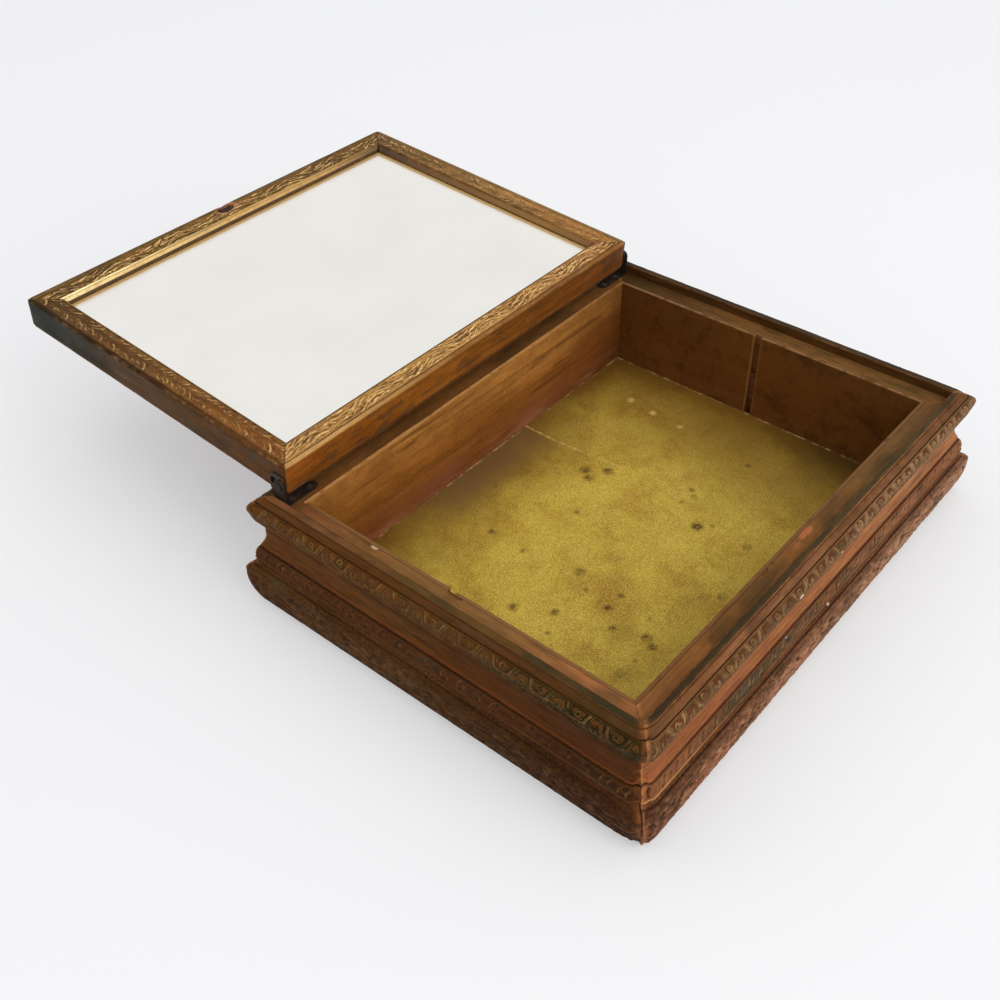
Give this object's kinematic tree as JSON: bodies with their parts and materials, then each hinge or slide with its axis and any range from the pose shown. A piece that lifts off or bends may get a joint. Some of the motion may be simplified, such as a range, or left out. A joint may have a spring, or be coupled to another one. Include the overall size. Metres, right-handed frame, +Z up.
{
  "type": "mirror-lidded wooden box",
  "caption": "Low rectangular wooden box with stacked carved mouldings, a raised lip round a lid ledge, paper-covered floor, and a framed mirror lid that lays back on let-in pivot hinges.",
  "frame": {"origin": "Centre of the box's underside, on the table under the bottom board.", "axes": "+X runs along the hinge line to the right seen from the front, -Y is the front of the box, +Y is the hinge side where the lid lies back, +Z is up."},
  "size_m": [0.3736, 0.5128, 0.1164],
  "materials": {
    "moulding_wood": "worn_stain",
    "base_wood": "worn_stain",
    "scroll_ornament": "worn_gilt",
    "leaf_ornament": "worn_gilt",
    "lining_wood": "satin",
    "bottom_wood": "raw",
    "floor_paper": "foxed_paper",
    "lid_wood": "worn_gilt",
    "panel_wood": "satin",
    "gilt": "worn_leaf",
    "mirror": "aged",
    "iron": "blackened"
  },
  "bodies": {
    "box": {"back_base_rail": "base_wood", "back_leaf_strip": "leaf_ornament", "back_lining": "lining_wood", "back_scroll_strip": "scroll_ornament", "back_upper_rail": "moulding_wood", "bottom_board": "bottom_wood", "bottom_nails": "iron", "corner_nails": "iron", "floor_paper": "floor_paper", "front_base_rail": "base_wood", "front_leaf_strip": "leaf_ornament", "front_lining": "lining_wood", "front_scroll_strip": "scroll_ornament", "front_upper_rail": "moulding_wood", "leaf_screws": "iron", "left_base_rail": "base_wood", "left_hinge_leaf": "iron", "left_hinge_pin": "iron", "left_leaf_strip": "leaf_ornament", "left_lining_back": "lining_wood", "left_lining_front": "lining_wood", "left_scroll_strip": "scroll_ornament", "left_upper_rail": "moulding_wood", "right_base_rail": "base_wood", "right_hinge_leaf": "iron", "right_hinge_pin": "iron", "right_leaf_strip": "leaf_ornament", "right_lining_back": "lining_wood", "right_lining_front": "lining_wood", "right_scroll_strip": "scroll_ornament", "right_upper_rail": "moulding_wood"},
    "lid": {"backing_board": "bottom_wood", "bead_pins": "iron", "cover_bead_back": "panel_wood", "cover_bead_front": "panel_wood", "cover_bead_left": "panel_wood", "cover_bead_right": "panel_wood", "gilt_slip_back": "gilt", "gilt_slip_front": "gilt", "gilt_slip_left": "gilt", "gilt_slip_right": "gilt", "left_lid_plate": "iron", "lid_back_rail": "lid_wood", "lid_front_rail": "lid_wood", "lid_left_rail": "lid_wood", "lid_nails": "iron", "lid_panel": "panel_wood", "lid_right_rail": "lid_wood", "mirror_glass": "mirror", "plate_screws": "iron", "right_lid_plate": "iron"}
  },
  "joints": [
    {"name": "lid_hinge", "type": "hinge", "parent": "box", "child": "lid", "pos_m": [0, 0.1238, 0.08754], "axis": [1, 0, 0], "range_deg": [0, 176.4]}
  ]
}
